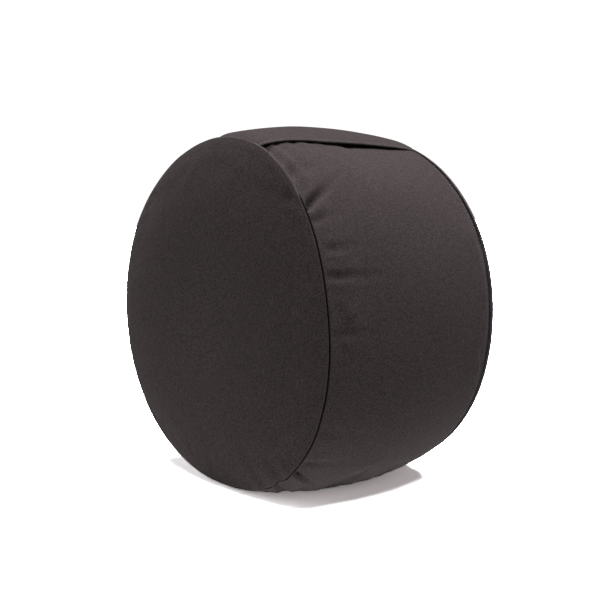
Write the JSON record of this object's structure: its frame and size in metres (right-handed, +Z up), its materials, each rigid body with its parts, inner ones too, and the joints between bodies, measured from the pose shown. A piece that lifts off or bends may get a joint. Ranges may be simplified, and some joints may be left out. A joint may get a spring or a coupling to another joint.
{
  "type": "bolster pillow",
  "caption": "Short drum-shaped bolster cushion lying on its side: domed round panels, swelling side band, flat strap handle on top and a zip-off cover over a filled inner bag.",
  "frame": {"origin": "middle of the flat patch the cushion rests on, below the middle of its bounding box", "axes": "+Z up; +Y along the cushion's axis from the plain front panel to the panel with the zip; +X to the right of a viewer who faces the plain front panel, the side the strap leans to"},
  "size_m": [0.315, 0.219, 0.3064],
  "materials": {
    "cover_twill": "charcoal cotton twill, matt",
    "handle_twill": "charcoal cotton twill, folded and pressed flat",
    "zip_tape": "blue-black woven zip tape",
    "zip_coil": "blue-black nylon coil, satin",
    "zip_metal": "dark lacquered die-cast metal",
    "liner_cotton": "unbleached plain cotton",
    "hull_fill": "loose hulls, matt"
  },
  "bodies": {
    "root": {"front_panel": "cover_twill", "side_band": "cover_twill", "back_panel": "cover_twill", "handle_front_end": "handle_twill", "handle_rear_end": "handle_twill", "zip_tape_band_side": "zip_tape", "zip_tape_panel_side": "zip_tape", "zip_coil_band_side": "zip_coil", "zip_coil_panel_side": "zip_coil", "zip_top_stop_band_side": "zip_metal", "zip_top_stop_panel_side": "zip_metal", "zip_bottom_stop": "zip_metal", "liner_front_panel": "liner_cotton", "liner_side_band": "liner_cotton", "liner_back_panel": "liner_cotton", "hull_fill": "hull_fill"},
    "handle": {"handle_grip": "handle_twill"},
    "zip_slider": {"zip_slider": "zip_metal"},
    "zip_pull": {"zip_pull_tab": "zip_metal"}
  },
  "joints": [
    {"name": "handle_lift", "type": "slide", "parent": "root", "child": "handle", "axis": [0.2079, 0, 0.9781], "range_m": [0, 0.014]},
    {"name": "zip_run", "type": "hinge", "parent": "root", "child": "zip_slider", "pos_m": [0, 0.0875, 0.146], "axis": [0, 1, 0], "range_deg": [0, 244]},
    {"name": "pull_tab_swing", "type": "hinge", "parent": "zip_slider", "child": "zip_pull", "pos_m": [-0.14771, 0.0875, 0.12226], "axis": [0, 1, 0], "range_deg": [-8, 170]}
  ]
}
